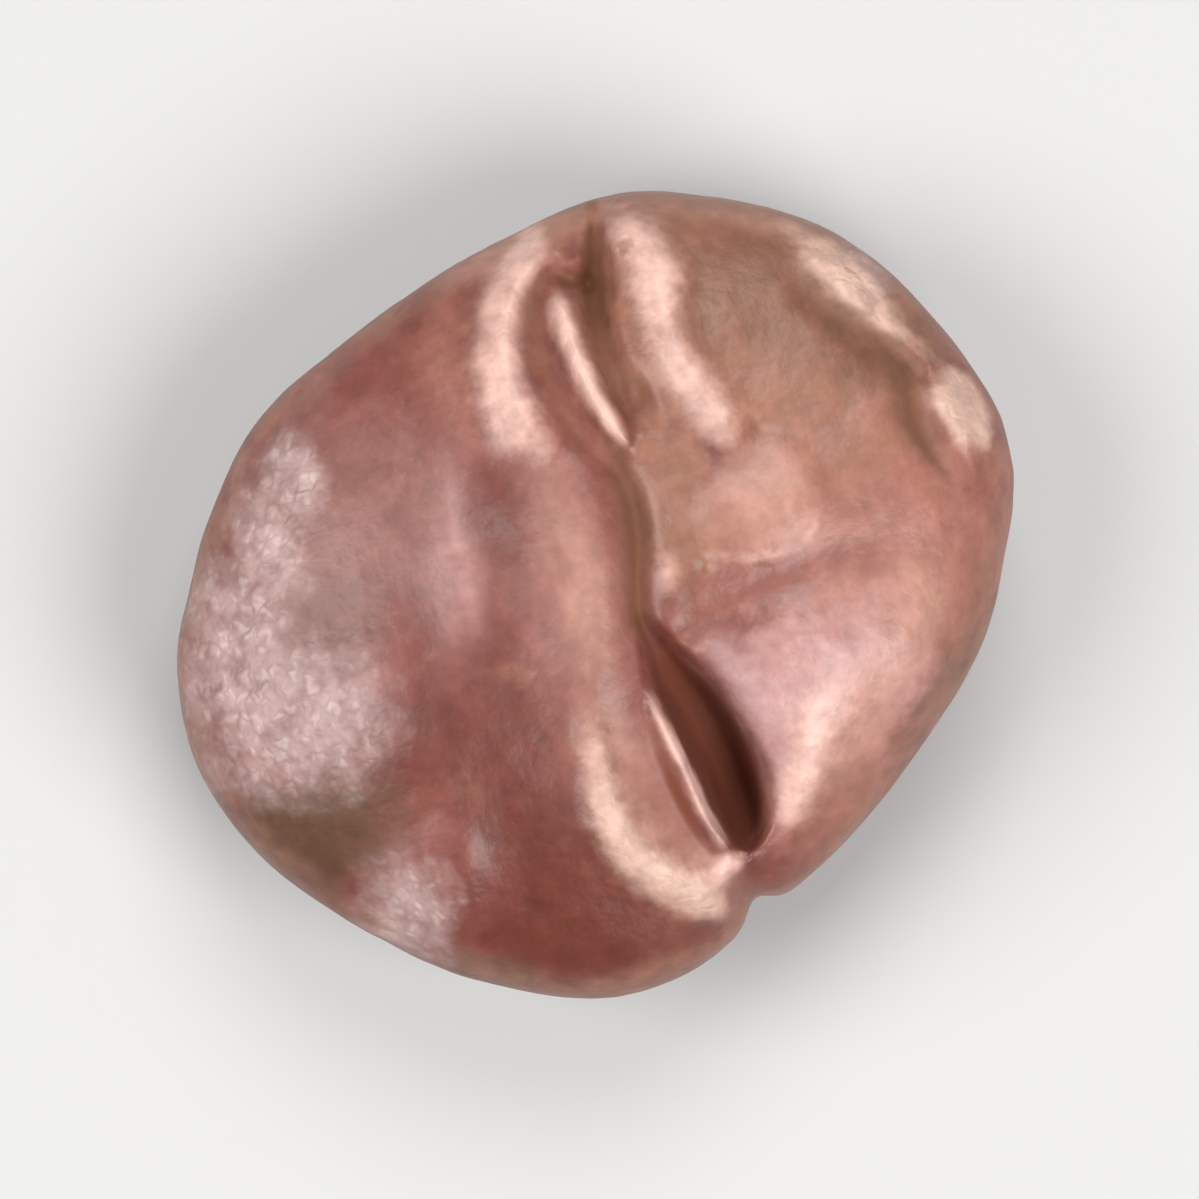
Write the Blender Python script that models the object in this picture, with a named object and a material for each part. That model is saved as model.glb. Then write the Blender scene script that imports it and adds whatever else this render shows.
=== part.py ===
"""A dried jujube seed: one flattened, rounded solid with a lengthwise seam on its upper face.

The seed lies on its more convex face. X runs across the seam, Y along it, and the hilum is at -Y.
Sizes are in millimetres and become metres where the mesh gets its points.
"""
import math

import bmesh
import bpy
import numpy as np

MM = 0.001

# Driving dimensions
WIDTH = 7.84
LENGTH = 7.10
RIM_HEIGHT = 1.58
CROWN_HEIGHT = 1.36
BELLY_DEPTH = 1.66

# How square the two faces are in section: 2 is an ellipse, more is flatter with a tighter rim
CROWN_SQUARENESS = 2.35
BELLY_SQUARENESS = 2.2

# Faces of the upper and of the lower side, across and along
COLUMNS = 60
ROWS = 46
SEAM_CROWDING = 1.5

# Relief fades out between these shares of the way to the rim
FADE_START = 0.90
FADE_END = 0.995

# The outline seen from above, anticlockwise from the right
OUTLINE = (
    (3.91, 0.87), (3.80, 1.24), (3.61, 1.50), (3.44, 1.90), (3.20, 2.36), (2.78, 2.77), (2.35, 3.09),
    (1.83, 3.34), (1.30, 3.50), (0.87, 3.56), (0.43, 3.53), (0.00, 3.43), (-0.52, 3.29), (-1.04, 3.12),
    (-1.48, 2.94), (-1.90, 2.74), (-2.27, 2.54), (-2.66, 2.28), (-2.98, 1.95), (-3.28, 1.56), (-3.50, 1.17),
    (-3.68, 0.78), (-3.84, 0.35), (-3.92, -0.09), (-3.90, -0.62), (-3.76, -1.15), (-3.47, -1.66),
    (-3.11, -2.10), (-2.66, -2.54), (-2.12, -2.95), (-1.57, -3.26), (-1.04, -3.46), (-0.52, -3.54),
    (0.00, -3.46), (0.40, -3.31), (0.75, -3.13), (1.10, -2.95), (1.48, -2.74), (1.83, -2.50), (2.26, -2.17),
    (2.70, -1.78), (3.09, -1.36), (3.43, -0.91), (3.65, -0.50), (3.78, 0.00), (3.88, 0.43),
)
OUTLINE_WAVES = 11

# The notch in the rim below the hilum: angle in degrees, depth, half width in degrees, and how fast it
# runs out towards the middle
NOTCH_ANGLE = -75.5
NOTCH_DEPTH = 0.16
NOTCH_HALF_WIDTH = 3.2
NOTCH_FALL = 7

# The line that the seam follows, from the hilum to the other end
SEAM_LINE = (
    (0.70, -3.10), (0.66, -2.65), (0.56, -2.30), (0.46, -1.83), (0.36, -1.35), (0.27, -0.85), (0.28, -0.40),
    (0.35, 0.05), (0.43, 0.48), (0.48, 0.92), (0.50, 1.35), (0.38, 1.70), (0.26, 2.20), (0.22, 2.70),
    (0.40, 3.15), (0.52, 3.50),
)

# Folds of the coat: sharpness, then points of x, y, height and half width
LEFT_SHOULDER = (2.3, (
    (0.20, 3.45, 0.04, 0.12), (0.10, 3.28, 0.10, 0.17), (-0.06, 3.05, 0.11, 0.19),
    (-0.24, 2.80, 0.11, 0.21), (-0.37, 2.52, 0.12, 0.22), (-0.42, 2.28, 0.11, 0.24),
    (-0.43, 2.04, 0.11, 0.25), (-0.39, 1.80, 0.11, 0.26), (-0.35, 1.60, 0.10, 0.26),
    (-0.30, 1.44, 0.07, 0.24), (-0.25, 1.26, 0.01, 0.20)))
RIGHT_SHOULDER = (2.2, (
    (0.90, 3.42, 0.02, 0.16), (0.96, 3.20, 0.10, 0.21), (1.08, 2.95, 0.13, 0.26), (1.10, 2.65, 0.13, 0.26),
    (1.08, 2.36, 0.10, 0.21), (1.09, 2.10, 0.10, 0.19), (1.17, 1.86, 0.12, 0.20), (1.27, 1.63, 0.13, 0.20),
    (1.36, 1.40, 0.12, 0.19), (1.41, 1.20, 0.08, 0.17), (1.44, 1.04, 0.02, 0.14)))
LEFT_GROOVE = (2.2, (
    (0.30, 3.02, -0.04, 0.08), (0.16, 2.93, -0.08, 0.11), (0.03, 2.78, -0.11, 0.13),
    (-0.05, 2.52, -0.12, 0.14), (-0.07, 2.28, -0.12, 0.14), (-0.05, 2.04, -0.11, 0.14),
    (0.03, 1.75, -0.10, 0.13), (0.14, 1.48, -0.10, 0.12), (0.25, 1.28, -0.08, 0.11),
    (0.36, 1.10, -0.05, 0.10)))
RIGHT_GROOVE = (2.4, (
    (0.72, 3.48, -0.08, 0.07), (0.68, 3.27, -0.15, 0.09), (0.62, 3.02, -0.22, 0.12),
    (0.56, 2.80, -0.28, 0.13), (0.53, 2.58, -0.26, 0.13), (0.52, 2.36, -0.20, 0.12),
    (0.54, 2.10, -0.16, 0.13), (0.59, 1.85, -0.14, 0.13), (0.63, 1.62, -0.12, 0.11),
    (0.67, 1.45, -0.05, 0.08)))
KEEL = (2.2, (
    (0.19, 2.78, 0.02, 0.09), (0.21, 2.66, 0.11, 0.12), (0.23, 2.48, 0.13, 0.13), (0.255, 2.26, 0.14, 0.12),
    (0.30, 2.01, 0.14, 0.115), (0.365, 1.74, 0.14, 0.105), (0.45, 1.48, 0.13, 0.09),
    (0.50, 1.33, 0.10, 0.08), (0.53, 1.23, 0.02, 0.06)))
SEAM = (2.0, (
    (0.44, 1.28, -0.03, 0.08), (0.40, 1.14, -0.07, 0.10), (0.45, 0.88, -0.10, 0.11),
    (0.46, 0.64, -0.11, 0.11), (0.42, 0.36, -0.11, 0.11), (0.365, 0.14, -0.10, 0.10),
    (0.32, -0.10, -0.11, 0.10), (0.31, -0.28, -0.13, 0.10), (0.36, -0.45, -0.08, 0.10)))
SEAM_VALLEY = (2.0, (
    (0.45, 1.30, -0.02, 0.26), (0.44, 0.75, -0.06, 0.28), (0.38, 0.15, -0.06, 0.28),
    (0.32, -0.45, -0.04, 0.24)))
LEFT_LIP = (2.0, (
    (-0.02, 1.15, 0.01, 0.13), (0.12, 0.80, 0.04, 0.13), (0.08, 0.40, 0.04, 0.13), (0.00, 0.02, 0.05, 0.14),
    (-0.08, -0.38, 0.05, 0.16), (-0.20, -0.74, 0.04, 0.17), (-0.34, -1.02, 0.02, 0.16)))
OPEN_CREASE = (3.4, (
    (0.34, -0.28, -0.05, 0.07), (0.39, -0.50, -0.26, 0.13), (0.46, -0.78, -0.50, 0.20),
    (0.57, -1.05, -0.70, 0.25), (0.66, -1.35, -0.84, 0.28), (0.73, -1.65, -0.92, 0.28),
    (0.77, -1.95, -0.88, 0.26), (0.79, -2.20, -0.68, 0.21), (0.77, -2.36, -0.42, 0.15),
    (0.73, -2.48, -0.08, 0.08)))
CREASE_SLOPE = (2.2, (
    (0.66, -0.50, -0.03, 0.14), (0.80, -0.90, -0.07, 0.20), (0.92, -1.25, -0.09, 0.22),
    (0.99, -1.60, -0.09, 0.22), (1.01, -1.95, -0.08, 0.20), (0.96, -2.25, -0.05, 0.17),
    (0.88, -2.45, -0.02, 0.10)))
FIN = (2.0, (
    (0.24, -0.84, 0.02, 0.05), (0.27, -1.05, 0.13, 0.07), (0.33, -1.30, 0.19, 0.075),
    (0.40, -1.55, 0.21, 0.075), (0.455, -1.80, 0.21, 0.075), (0.505, -2.02, 0.20, 0.08),
    (0.55, -2.22, 0.17, 0.08), (0.585, -2.37, 0.12, 0.08), (0.62, -2.47, 0.03, 0.07)))
INNER_STRIP = (2.4, (
    (-0.06, -1.05, -0.01, 0.16), (-0.03, -1.40, -0.03, 0.19), (0.02, -1.75, -0.04, 0.19),
    (0.12, -2.08, -0.05, 0.17), (0.26, -2.36, -0.04, 0.13), (0.42, -2.60, -0.03, 0.09)))
HILUM_RIM = (2.2, (
    (-0.32, -0.88, 0.01, 0.14), (-0.36, -1.14, 0.06, 0.17), (-0.34, -1.42, 0.09, 0.18),
    (-0.35, -1.72, 0.12, 0.20), (-0.34, -2.00, 0.13, 0.21), (-0.24, -2.26, 0.13, 0.22),
    (-0.07, -2.49, 0.14, 0.23), (0.12, -2.66, 0.15, 0.23), (0.29, -2.81, 0.15, 0.21),
    (0.39, -2.95, 0.11, 0.18), (0.43, -3.09, 0.02, 0.12)))
HILUM_SPUR = (2.0, (
    (0.79, -2.52, 0.01, 0.07), (0.69, -2.55, 0.05, 0.10), (0.55, -2.60, 0.06, 0.12),
    (0.42, -2.71, 0.05, 0.13), (0.32, -2.82, 0.01, 0.12)))
CREASE_LIP = (2.0, (
    (2.00, -1.05, 0.01, 0.28), (1.76, -1.42, 0.05, 0.28), (1.58, -1.66, 0.06, 0.26),
    (1.43, -1.90, 0.07, 0.23), (1.31, -2.15, 0.06, 0.20), (1.18, -2.38, 0.02, 0.14)))
LOBE_ARC = (2.0, (
    (1.10, -0.62, 0.01, 0.16), (1.45, -0.62, 0.05, 0.18), (1.75, -0.72, 0.05, 0.16),
    (1.98, -0.92, 0.01, 0.14)))
LOBE_HOLLOW = (2.0, (
    (0.70, -0.36, -0.03, 0.17), (1.10, -0.30, -0.05, 0.21), (1.60, -0.20, -0.05, 0.24),
    (2.20, -0.14, -0.03, 0.28), (2.90, -0.10, -0.01, 0.30)))
SEAM_CURL = (2.0, (
    (0.86, 0.24, 0.008, 0.11), (0.72, 0.22, 0.022, 0.12), (0.64, 0.08, 0.030, 0.11),
    (0.62, -0.06, 0.028, 0.11), (0.64, -0.20, 0.008, 0.09)))
FLAP_EDGE = (2.0, (
    (0.88, 0.21, 0.004, 0.06), (1.15, 0.13, 0.014, 0.065), (1.48, 0.04, 0.016, 0.065),
    (1.80, 0.05, 0.014, 0.07), (2.02, 0.22, 0.010, 0.07), (2.12, 0.50, 0.003, 0.07)))
FLAP = (6.0, (
    (1.38, 1.22, 0.000, 0.24), (1.45, 1.02, 0.026, 0.37), (1.53, 0.80, 0.050, 0.50),
    (1.57, 0.62, 0.060, 0.57)))
HEM = (2.4, (
    (2.22, 3.02, 0.01, 0.11), (2.48, 2.78, 0.05, 0.16), (2.70, 2.49, 0.08, 0.20), (2.88, 2.20, 0.08, 0.20),
    (3.05, 1.95, 0.06, 0.16), (3.22, 1.70, 0.045, 0.11), (3.36, 1.50, 0.03, 0.08),
    (3.44, 1.36, 0.01, 0.07)))
HEM_GROOVE = (2.0, (
    (2.30, 2.50, -0.01, 0.14), (2.48, 2.15, -0.05, 0.14), (2.75, 1.88, -0.07, 0.14),
    (3.02, 1.62, -0.08, 0.13), (3.20, 1.38, -0.07, 0.10)))
RIM_FLAKE = (4.0, (
    (3.44, 1.36, 0.02, 0.14), (3.51, 1.16, 0.08, 0.22), (3.57, 0.94, 0.09, 0.23), (3.62, 0.70, 0.08, 0.19),
    (3.63, 0.50, 0.02, 0.14)))
FLAKE_CREASE = (2.0, (
    (3.15, 1.42, -0.01, 0.09), (3.12, 1.22, -0.05, 0.09), (3.10, 1.02, -0.06, 0.09),
    (3.13, 0.80, -0.06, 0.08), (3.19, 0.60, -0.06, 0.07), (3.28, 0.44, -0.01, 0.06)))
LEFT_TERRACE = (2.0, (
    (-1.02, 1.55, 0.005, 0.20), (-1.10, 1.25, 0.03, 0.21), (-1.16, 0.85, 0.045, 0.22),
    (-1.20, 0.40, 0.05, 0.22), (-1.26, 0.10, 0.03, 0.22), (-1.32, -0.25, 0.005, 0.22)))
LOWER_TERRACE = (3.0, (
    (-1.95, -1.55, 0.01, 0.28), (-1.85, -1.95, 0.06, 0.30), (-1.92, -2.30, 0.07, 0.27),
    (-2.00, -2.62, 0.06, 0.24), (-2.05, -2.90, 0.01, 0.20)))
FOLDS = (
    LEFT_SHOULDER, RIGHT_SHOULDER, LEFT_GROOVE, RIGHT_GROOVE, KEEL, SEAM, SEAM_VALLEY, LEFT_LIP,
    OPEN_CREASE, CREASE_SLOPE, FIN, INNER_STRIP, HILUM_RIM, HILUM_SPUR, CREASE_LIP, LOBE_ARC, LOBE_HOLLOW,
    SEAM_CURL, FLAP_EDGE, FLAP, HEM, HEM_GROOVE, RIM_FLAKE, FLAKE_CREASE, LEFT_TERRACE, LOWER_TERRACE)

# Wide swellings and dents of the upper face: x, y, radius across, radius along, height
SWELLINGS = (
    (-1.90, -0.20, 1.30, 1.70, 0.14),
    (1.75, -1.05, 0.95, 0.60, 0.13),
    (2.60, -0.90, 0.60, 0.60, 0.05),
    (2.10, 1.50, 0.90, 0.90, -0.06),
    (0.40, 0.40, 0.70, 3.00, -0.08),
    (-0.74, 1.06, 0.30, 0.30, -0.04),
    (0.80, -0.40, 0.20, 0.14, -0.04),
    (0.50, 3.02, 0.07, 0.09, 0.10),
    (-1.25, -2.10, 0.30, 0.70, -0.04),
    (-2.50, 0.35, 0.50, 0.35, -0.05),
    (-1.30, 3.00, 0.12, 0.08, 0.04),
    (-2.25, 2.18, 0.12, 0.12, 0.03),
)

# Relief of the lower face: a blunt point at the end away from the hilum, and shallow dents
BELLY_SWELLINGS = (
    (0.45, 3.00, 0.28, 0.24, 0.10),
    (-1.90, 1.30, 0.80, 1.00, -0.10),
    (2.20, -0.70, 0.80, 0.90, -0.08),
    (0.30, -2.60, 0.30, 0.60, -0.08),
)

STEPS_PER_SPAN = 6


def polar_radius():
    """A function of the angle and the share of the way to the rim that gives the rim's distance there."""
    points = np.array(OUTLINE)
    angles = np.arctan2(points[:, 1], points[:, 0])
    radii = np.hypot(points[:, 0], points[:, 1])

    def waves(angle):
        terms = [np.ones_like(angle)]
        for count in range(1, OUTLINE_WAVES + 1):
            terms.append(np.cos(count * angle))
            terms.append(np.sin(count * angle))
        return np.stack(terms, axis=-1)

    weights = np.linalg.lstsq(waves(angles), radii, rcond=None)[0]

    def radius(angle, share):
        notch = np.exp(-((np.degrees(angle) - NOTCH_ANGLE) / NOTCH_HALF_WIDTH) ** 2)
        return waves(angle) @ weights - NOTCH_DEPTH * notch * share ** NOTCH_FALL

    return radius


def smooth_route(points):
    """A smooth curve through points of any number of values (Catmull-Rom)."""
    points = np.array(points)
    padded = np.vstack([2 * points[0] - points[1], points, 2 * points[-1] - points[-2]])
    route = []
    for index in range(1, len(padded) - 2):
        before, start, end, after = padded[index - 1:index + 3]
        for step in range(STEPS_PER_SPAN):
            t = step / STEPS_PER_SPAN
            route.append(0.5 * (2 * start + (end - before) * t
                                + (2 * before - 5 * start + 4 * end - after) * t ** 2
                                + (3 * start - before - 3 * end + after) * t ** 3))
    route.append(points[-1])
    return np.array(route)


def fold_height(fold, x, y):
    """Height that one fold adds at each point: its own height, fading with the distance from its route."""
    sharpness, points = fold
    route = smooth_route(points)
    nearest = np.full(x.shape, np.inf)
    height = np.zeros(x.shape)
    width = np.ones(x.shape)
    for start, end in zip(route[:-1], route[1:]):
        run = end[:2] - start[:2]
        share = ((x - start[0]) * run[0] + (y - start[1]) * run[1]) / (run @ run)
        share = np.clip(share, 0, 1)
        distance = np.hypot(x - start[0] - share * run[0], y - start[1] - share * run[1])
        closer = distance < nearest
        nearest = np.where(closer, distance, nearest)
        height = np.where(closer, start[2] + share * (end[2] - start[2]), height)
        width = np.where(closer, start[3] + share * (end[3] - start[3]), width)
    return height * np.exp(-(nearest / width) ** sharpness)


def swelling_height(swellings, x, y):
    """Height that the wide swellings and dents add at each point."""
    total = np.zeros(x.shape)
    for middle_x, middle_y, across, along, height in swellings:
        total += height * np.exp(-((x - middle_x) / across) ** 2 - ((y - middle_y) / along) ** 2)
    return total


def dome(share, squareness):
    """Height of a dome of unit height, by the share of the way from its middle to its rim."""
    return (1 - np.clip(share, 0, 1) ** squareness) ** (1 / squareness)


def fade(share):
    """1 on the face, 0 at the rim, with a smooth passage."""
    t = np.clip((FADE_END - share) / (FADE_END - FADE_START), 0, 1)
    return t * t * (3 - 2 * t)


def disc_point(u, v, radius):
    """The place inside the outline of a point of the square from -1 to 1: x, y and the share to the rim."""
    across = u * np.sqrt(1 - v ** 2 / 2)
    along = v * np.sqrt(1 - u ** 2 / 2)
    share = np.hypot(across, along)
    angle = np.arctan2(along, across)
    reach = share * radius(angle, share)
    return reach * np.cos(angle), reach * np.sin(angle), share


def follow_seam(u, v, radius):
    """Slide the square's columns sideways so that the middle one lies on the seam."""
    seam = np.array(SEAM_LINE)
    slide = np.zeros_like(v)
    for _ in range(6):
        x, y, _share = disc_point(slide, v, radius)
        slide += (np.interp(y, seam[:, 1], seam[:, 0]) - x) / (WIDTH / 2)
    return u + slide * (1 - u ** 2)


def seed_points(u, v, is_upper):
    """Place every point of the two square sheets on the seed's surface, in millimetres."""
    radius = polar_radius()
    x, y, share = disc_point(follow_seam(u, v, radius), v, radius)
    upper_relief = swelling_height(SWELLINGS, x, y)
    for fold in FOLDS:
        upper_relief += fold_height(fold, x, y)
    upper = RIM_HEIGHT + CROWN_HEIGHT * dome(share, CROWN_SQUARENESS) + upper_relief * fade(share)
    lower_relief = swelling_height(BELLY_SWELLINGS, x, y)
    lower = RIM_HEIGHT - BELLY_DEPTH * dome(share, BELLY_SQUARENESS) - lower_relief * fade(share)
    z = np.where(is_upper, upper, np.maximum(lower, 0))
    x = (x - x.min()) * WIDTH / np.ptp(x) - WIDTH / 2
    y = (y - y.min()) * LENGTH / np.ptp(y) - LENGTH / 2
    return np.stack([x, y, z], axis=-1)


def closed_sheets(name):
    """Two square grids joined along their rims: a closed mesh whose points have still to be placed."""
    mesh = bpy.data.meshes.new(name)
    sheets = bmesh.new()
    bmesh.ops.create_grid(sheets, x_segments=COLUMNS, y_segments=ROWS, size=1)
    copy = bmesh.ops.duplicate(sheets, geom=sheets.verts[:] + sheets.edges[:] + sheets.faces[:])
    lower_faces = [item for item in copy["geom"] if isinstance(item, bmesh.types.BMFace)]
    bmesh.ops.reverse_faces(sheets, faces=lower_faces)
    for vertex in sheets.verts:
        inside = (1 - vertex.co.x ** 2) * (1 - vertex.co.y ** 2)
        vertex.co.z = inside
    for face in lower_faces:
        for vertex in face.verts:
            vertex.co.z = -abs(vertex.co.z)
    bmesh.ops.remove_doubles(sheets, verts=sheets.verts, dist=1e-6)
    sheets.to_mesh(mesh)
    sheets.free()
    return mesh


def triangulate(mesh):
    """Cut every face into triangles, the same way on each run."""
    shape = bmesh.new()
    shape.from_mesh(mesh)
    bmesh.ops.triangulate(shape, faces=shape.faces, quad_method="BEAUTY")
    shape.to_mesh(mesh)
    shape.free()


def coat_material():
    """The dry seed coat: reddish brown with a satin finish."""
    material = bpy.data.materials.new("seed_coat")
    material.use_nodes = True
    surface = material.node_tree.nodes["Principled BSDF"]
    surface.inputs["Base Color"].default_value = (0.26, 0.09, 0.065, 1)
    surface.inputs["Roughness"].default_value = 0.42
    surface.inputs["Metallic"].default_value = 0
    return material


def make_seed():
    mesh = closed_sheets("seed")
    places = np.empty(len(mesh.vertices) * 3)
    mesh.vertices.foreach_get("co", places)
    places = places.reshape(-1, 3)
    u = np.sign(places[:, 0]) * np.sin(math.pi / 2 * np.abs(places[:, 0])) ** SEAM_CROWDING
    v = np.sin(math.pi / 2 * places[:, 1])
    points = seed_points(u, v, places[:, 2] >= 0)
    mesh.vertices.foreach_set("co", (points * MM).ravel())
    triangulate(mesh)
    mesh.shade_smooth()
    mesh.materials.append(coat_material())
    seed = bpy.data.objects.new("seed", mesh)
    bpy.context.scene.collection.objects.link(seed)


def main():
    for item in list(bpy.data.objects):
        bpy.data.objects.remove(item, do_unlink=True)
    make_seed()


main()
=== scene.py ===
"""A dried jujube seed, lying on its fuller face: its fine surface, its coat and its stage."""

import math

import bmesh
import bpy
import numpy as np
from bpy.props import FloatProperty, FloatVectorProperty, IntProperty, PointerProperty
from bpy.types import Operator, Panel, PropertyGroup
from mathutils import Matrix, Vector, noise


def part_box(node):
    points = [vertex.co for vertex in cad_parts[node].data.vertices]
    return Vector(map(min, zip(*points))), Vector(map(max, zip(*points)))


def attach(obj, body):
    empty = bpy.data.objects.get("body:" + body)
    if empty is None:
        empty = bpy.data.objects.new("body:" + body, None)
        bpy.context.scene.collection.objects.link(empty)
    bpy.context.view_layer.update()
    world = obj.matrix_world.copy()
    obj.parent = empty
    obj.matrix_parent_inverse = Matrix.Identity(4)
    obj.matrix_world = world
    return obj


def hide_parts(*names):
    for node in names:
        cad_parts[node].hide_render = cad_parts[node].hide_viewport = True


bl_info = {
    "name": "Jujube Seed",
    "version": (1, 0, 0),
    "blender": (4, 5, 0),
    "location": "View3D > Sidebar > Seed",
    "description": "Builds a dried jujube seed with its seam, folds and worn coat",
    "category": "Object",
}

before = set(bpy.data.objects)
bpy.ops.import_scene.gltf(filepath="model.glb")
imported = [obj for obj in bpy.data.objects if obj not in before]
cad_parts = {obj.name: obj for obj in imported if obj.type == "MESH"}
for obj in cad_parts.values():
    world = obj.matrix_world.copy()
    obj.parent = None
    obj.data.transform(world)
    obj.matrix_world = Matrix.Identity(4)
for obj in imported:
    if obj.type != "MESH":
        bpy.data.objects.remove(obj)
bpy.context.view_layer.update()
SEED_LOW, SEED_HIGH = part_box("seed")

MM = 0.001

# How square the two faces are in section: 2 is an ellipse, more is flatter with a tighter rim
CROWN_SQUARENESS = 2.35
BELLY_SQUARENESS = 2.2
# How closely the columns of faces crowd round the seam, half the outline's width in millimetres, and how
# many times the columns are slid towards the seam
SEAM_CROWDING = 1.5
HALF_WIDTH = 3.9
SEAM_PASSES = 6

# Relief fades out between these shares of the way to the rim
FADE_START = 0.90
FADE_END = 0.995

# The outline seen from above in millimetres, anticlockwise from the right
OUTLINE = (
    (3.91, 0.87), (3.80, 1.24), (3.61, 1.50), (3.44, 1.90), (3.20, 2.36), (2.78, 2.77), (2.35, 3.09),
    (1.83, 3.34), (1.30, 3.50), (0.87, 3.56), (0.43, 3.53), (0.00, 3.43), (-0.52, 3.29), (-1.04, 3.12),
    (-1.48, 2.94), (-1.90, 2.74), (-2.27, 2.54), (-2.66, 2.28), (-2.98, 1.95), (-3.28, 1.56), (-3.50, 1.17),
    (-3.68, 0.78), (-3.84, 0.35), (-3.92, -0.09), (-3.90, -0.62), (-3.76, -1.15), (-3.47, -1.66),
    (-3.11, -2.10), (-2.66, -2.54), (-2.12, -2.95), (-1.57, -3.26), (-1.04, -3.46), (-0.52, -3.54),
    (0.00, -3.46), (0.40, -3.31), (0.75, -3.13), (1.10, -2.95), (1.48, -2.74), (1.83, -2.50), (2.26, -2.17),
    (2.70, -1.78), (3.09, -1.36), (3.43, -0.91), (3.65, -0.50), (3.78, 0.00), (3.88, 0.43),
)
OUTLINE_WAVES = 11

# The notch in the rim below the hilum: angle in degrees, depth, half width in degrees, and how fast it
# runs out towards the middle
NOTCH_ANGLE = -75.5
NOTCH_DEPTH = 0.16
NOTCH_HALF_WIDTH = 3.2
NOTCH_FALL = 7

# The line that the seam follows, from the hilum to the other end
SEAM_LINE = (
    (0.70, -3.10), (0.66, -2.65), (0.56, -2.30), (0.46, -1.83), (0.36, -1.35), (0.27, -0.85), (0.28, -0.40),
    (0.35, 0.05), (0.43, 0.48), (0.48, 0.92), (0.50, 1.35), (0.38, 1.70), (0.26, 2.20), (0.22, 2.70),
    (0.40, 3.15), (0.52, 3.50),
)

# Folds of the coat: sharpness, then points of x, y, height and half width in millimetres
LEFT_SHOULDER = (2.3, (
    (0.20, 3.45, 0.04, 0.12), (0.10, 3.28, 0.10, 0.17), (-0.06, 3.05, 0.11, 0.19),
    (-0.24, 2.80, 0.11, 0.21), (-0.37, 2.52, 0.12, 0.22), (-0.42, 2.28, 0.11, 0.24),
    (-0.43, 2.04, 0.11, 0.25), (-0.39, 1.80, 0.11, 0.26), (-0.35, 1.60, 0.10, 0.26),
    (-0.30, 1.44, 0.07, 0.24), (-0.25, 1.26, 0.01, 0.20)))
RIGHT_SHOULDER = (2.2, (
    (0.90, 3.42, 0.02, 0.16), (0.96, 3.20, 0.10, 0.21), (1.08, 2.95, 0.13, 0.26), (1.10, 2.65, 0.13, 0.26),
    (1.08, 2.36, 0.10, 0.21), (1.09, 2.10, 0.10, 0.19), (1.17, 1.86, 0.12, 0.20), (1.27, 1.63, 0.13, 0.20),
    (1.36, 1.40, 0.12, 0.19), (1.41, 1.20, 0.08, 0.17), (1.44, 1.04, 0.02, 0.14)))
LEFT_GROOVE = (2.2, (
    (0.30, 3.02, -0.04, 0.08), (0.16, 2.93, -0.08, 0.11), (0.03, 2.78, -0.11, 0.13),
    (-0.05, 2.52, -0.12, 0.14), (-0.07, 2.28, -0.12, 0.14), (-0.05, 2.04, -0.11, 0.14),
    (0.03, 1.75, -0.10, 0.13), (0.14, 1.48, -0.10, 0.12), (0.25, 1.28, -0.08, 0.11),
    (0.36, 1.10, -0.05, 0.10)))
RIGHT_GROOVE = (2.4, (
    (0.72, 3.48, -0.08, 0.07), (0.68, 3.27, -0.15, 0.09), (0.62, 3.02, -0.22, 0.12),
    (0.56, 2.80, -0.28, 0.13), (0.53, 2.58, -0.26, 0.13), (0.52, 2.36, -0.20, 0.12),
    (0.54, 2.10, -0.16, 0.13), (0.59, 1.85, -0.14, 0.13), (0.63, 1.62, -0.12, 0.11),
    (0.67, 1.45, -0.05, 0.08)))
TOP_NOTCH = (2.0, (
    (0.24, 2.95, -0.05, 0.07), (0.34, 2.88, -0.14, 0.09), (0.48, 2.82, -0.14, 0.09)))
SIDE_GROOVE = (2.0, (
    (0.74, 1.95, -0.01, 0.07), (0.77, 1.72, -0.04, 0.08), (0.81, 1.50, -0.035, 0.08),
    (0.86, 1.34, -0.01, 0.07)))
KEEL = (2.2, (
    (0.19, 2.78, 0.02, 0.09), (0.21, 2.66, 0.11, 0.12), (0.23, 2.48, 0.13, 0.13), (0.255, 2.26, 0.14, 0.12),
    (0.30, 2.01, 0.14, 0.115), (0.365, 1.74, 0.14, 0.105), (0.45, 1.48, 0.13, 0.09),
    (0.50, 1.33, 0.10, 0.08), (0.53, 1.23, 0.02, 0.06)))
SEAM = (2.0, (
    (0.44, 1.28, -0.03, 0.08), (0.40, 1.14, -0.07, 0.10), (0.45, 0.88, -0.10, 0.11),
    (0.46, 0.64, -0.11, 0.11), (0.42, 0.36, -0.11, 0.11), (0.365, 0.14, -0.10, 0.10),
    (0.32, -0.10, -0.11, 0.10), (0.31, -0.28, -0.13, 0.10), (0.36, -0.45, -0.08, 0.10)))
SEAM_VALLEY = (2.0, (
    (0.45, 1.30, -0.02, 0.26), (0.44, 0.75, -0.06, 0.28), (0.38, 0.15, -0.06, 0.28),
    (0.32, -0.45, -0.04, 0.24)))
LEFT_LIP = (2.0, (
    (-0.02, 1.15, 0.01, 0.13), (0.12, 0.80, 0.04, 0.13), (0.08, 0.40, 0.04, 0.13), (0.00, 0.02, 0.05, 0.14),
    (-0.08, -0.38, 0.05, 0.16), (-0.20, -0.74, 0.04, 0.17), (-0.34, -1.02, 0.02, 0.16)))
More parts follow.
